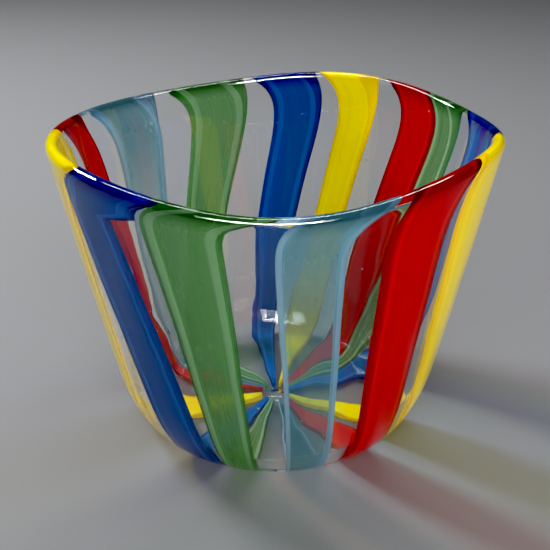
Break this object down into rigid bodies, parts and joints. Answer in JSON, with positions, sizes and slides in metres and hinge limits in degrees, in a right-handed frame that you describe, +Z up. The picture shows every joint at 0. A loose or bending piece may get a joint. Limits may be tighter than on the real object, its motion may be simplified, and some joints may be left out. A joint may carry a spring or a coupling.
{
  "type": "art glass bowl",
  "caption": "Hand-blown flared glass bowl of fused canes: coloured stripes with clear glass between them run from the middle of the base up the wall and swing round at a wavy, rounded rim.",
  "frame": {"origin": "centre of the foot, on the surface that the bowl stands on", "axes": "+Z up along the bowl's axis, -Y towards the front, +X to the right"},
  "size_m": [0.2199, 0.22, 0.1632],
  "materials": {
    "clear_glass": "fire-polished, clear",
    "green_glass": "fire-polished, see-through green",
    "light_blue_glass": "fire-polished, see-through pale blue",
    "blue_glass": "fire-polished, deep see-through blue",
    "red_glass": "fire-polished, nearly opaque red",
    "yellow_glass": "fire-polished, nearly opaque yellow",
    "green_thread_glass": "fire-polished, milky pale green",
    "light_blue_thread_glass": "fire-polished, milky pale blue",
    "blue_thread_glass": "fire-polished, milky mid blue"
  },
  "bodies": {
    "root": {"base_button": "clear_glass", "front_green_cane": "green_glass", "front_light_blue_cane": "light_blue_glass", "front_red_cane": "red_glass", "right_yellow_cane": "yellow_glass", "right_blue_cane": "blue_glass", "right_green_cane": "green_glass", "back_red_cane": "red_glass", "back_yellow_cane": "yellow_glass", "back_blue_cane": "blue_glass", "back_green_cane": "green_glass", "left_light_blue_cane": "light_blue_glass", "left_red_cane": "red_glass", "left_yellow_cane": "yellow_glass", "left_blue_cane": "blue_glass", "front_green_threads": "green_thread_glass", "front_light_blue_threads": "light_blue_thread_glass", "right_blue_threads": "blue_thread_glass", "right_green_threads": "green_thread_glass", "back_blue_threads": "blue_thread_glass", "back_green_threads": "green_thread_glass", "left_light_blue_threads": "light_blue_thread_glass", "left_blue_threads": "blue_thread_glass", "clear_cane_after_front_green": "clear_glass", "clear_cane_after_front_light_blue": "clear_glass", "clear_cane_after_front_red": "clear_glass", "clear_cane_after_right_yellow": "clear_glass", "clear_cane_after_right_blue": "clear_glass", "clear_cane_after_back_red": "clear_glass", "clear_cane_after_back_yellow": "clear_glass", "clear_cane_after_back_blue": "clear_glass", "clear_cane_after_back_green": "clear_glass", "clear_cane_after_left_light_blue": "clear_glass", "clear_cane_after_left_red": "clear_glass", "clear_cane_after_left_yellow": "clear_glass", "clear_cane_after_left_blue": "clear_glass"}
  },
  "joints": []
}
